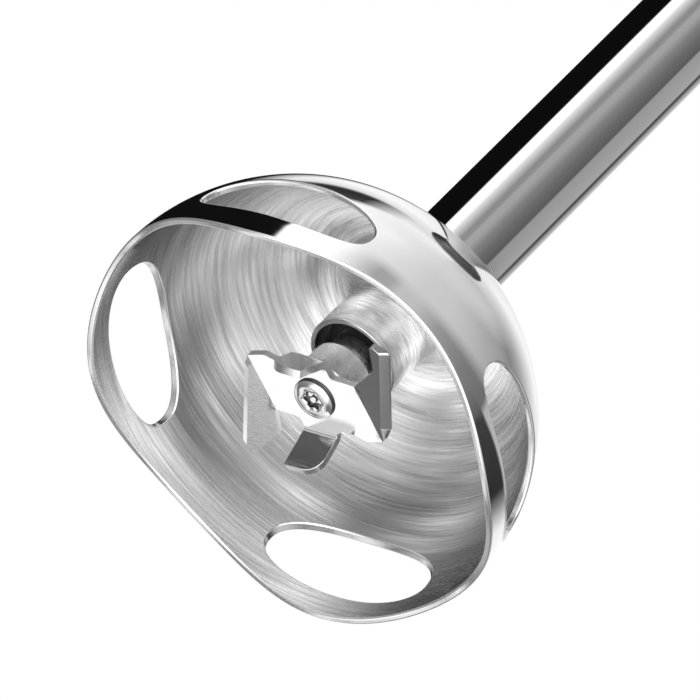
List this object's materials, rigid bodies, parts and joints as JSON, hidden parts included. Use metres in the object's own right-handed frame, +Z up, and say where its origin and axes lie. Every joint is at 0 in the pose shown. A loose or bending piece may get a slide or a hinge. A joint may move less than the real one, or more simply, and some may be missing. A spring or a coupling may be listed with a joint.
{
  "type": "immersion blender",
  "caption": "Corded immersion blender: windowed steel bell and swept blade on a slim tube, with a lift-off motor handle, buttons and a speed dial.",
  "frame": {"origin": "on the shaft's axis, in the plane of the bell rim's four lowest edges", "axes": "+Z up along the shaft towards the handle; the control buttons face -Y; the bell's windows are centred on +X, -X, +Y and -Y"},
  "size_m": [0.07, 0.07, 0.3903],
  "materials": {
    "bell_steel": "polished outside, turned inside",
    "tube_steel": "polished",
    "blade_steel": "ground",
    "boss_metal": "satin",
    "screw_steel": "satin",
    "shaft_steel": "ground",
    "spring_steel": "satin",
    "seal_rubber": "matte",
    "bronze": "satin",
    "collar_plastic": "satin",
    "carrier_plastic": "satin",
    "coupling_plastic": "satin",
    "nose_plastic": "gloss",
    "shell_plastic": "gloss",
    "grip_rubber": "matte",
    "panel_plastic": "satin",
    "button_plastic": "satin",
    "dial_plastic": "satin",
    "bracket_metal": "cast",
    "iron": "laminated",
    "copper": "varnished",
    "carbon": "matte",
    "board_green": "satin",
    "board_parts": "satin",
    "fan_plastic": "satin"
  },
  "bodies": {
    "foot": {"bell_guard": "bell_steel", "shaft_tube": "tube_steel", "shaft_seal": "seal_rubber", "lower_bush": "bronze", "foot_collar": "collar_plastic", "bearing_carrier": "carrier_plastic", "upper_bush": "bronze"},
    "blade_rotor": {"blade": "blade_steel", "blade_boss": "boss_metal", "blade_screw": "screw_steel", "drive_shaft": "shaft_steel", "shaft_circlip": "shaft_steel", "driven_coupling": "coupling_plastic"},
    "motor_unit": {"nose_housing": "nose_plastic", "nose_gasket": "seal_rubber", "front_shell": "shell_plastic", "rear_shell": "shell_plastic", "soft_grip": "grip_rubber", "control_panel": "panel_plastic", "top_cap": "nose_plastic", "cord_gland": "seal_rubber", "housing_screws": "screw_steel", "lower_bracket": "bracket_metal", "upper_bracket": "bracket_metal", "lower_bearing": "bronze", "upper_bearing": "bronze", "stator_core": "iron", "field_coils": "copper", "brush_holders": "bronze", "carbon_brushes": "carbon", "circuit_board": "board_green", "board_parts": "board_parts", "switches": "coupling_plastic", "power_spring": "spring_steel", "turbo_spring": "spring_steel", "release_spring_left": "spring_steel", "release_spring_right": "spring_steel"},
    "armature": {"armature_core": "iron", "armature_windings": "copper", "commutator": "copper", "motor_shaft": "shaft_steel", "cooling_fan": "fan_plastic", "drive_coupling": "coupling_plastic"},
    "power_button": {"power_button": "button_plastic"},
    "turbo_button": {"turbo_button": "button_plastic"},
    "speed_dial": {"speed_dial": "dial_plastic"},
    "release_button_left": {"release_button_left": "button_plastic"},
    "release_button_right": {"release_button_right": "button_plastic"}
  },
  "joints": [
    {"name": "foot_release", "type": "slide", "parent": "foot", "child": "motor_unit", "axis": [0, 0, 1], "range_m": [0, 0.045]},
    {"name": "motor_spin", "type": "hinge", "parent": "motor_unit", "child": "armature", "pos_m": [0, 0, 0.25], "axis": [0, 0, 1], "continuous": true},
    {"name": "blade_spin", "type": "hinge", "parent": "foot", "child": "blade_rotor", "pos_m": [0, 0, 0.1], "axis": [0, 0, 1], "continuous": true},
    {"name": "power_press", "type": "slide", "parent": "motor_unit", "child": "power_button", "axis": [0, 1, 0], "range_m": [0, 0.0025], "stiffness_N_per_m": 600, "springref_m": -0.002, "deforming": ["power_spring"]},
    {"name": "turbo_press", "type": "slide", "parent": "motor_unit", "child": "turbo_button", "axis": [0, 1, 0], "range_m": [0, 0.0025], "stiffness_N_per_m": 600, "springref_m": -0.002, "deforming": ["turbo_spring"]},
    {"name": "speed_turn", "type": "hinge", "parent": "motor_unit", "child": "speed_dial", "pos_m": [0, 0, 0.373], "axis": [0, 0, 1], "range_deg": [0, 270]},
    {"name": "release_left_press", "type": "slide", "parent": "motor_unit", "child": "release_button_left", "axis": [1, 0, 0], "range_m": [0, 0.0025], "stiffness_N_per_m": 600, "springref_m": -0.002, "deforming": ["release_spring_left"]},
    {"name": "release_right_press", "type": "slide", "parent": "motor_unit", "child": "release_button_right", "axis": [-1, 0, 0], "range_m": [0, 0.0025], "stiffness_N_per_m": 600, "springref_m": -0.002, "deforming": ["release_spring_right"]}
  ],
  "couplings": [
    {"joint": "blade_spin", "follows": "motor_spin", "ratio": 1}
  ]
}
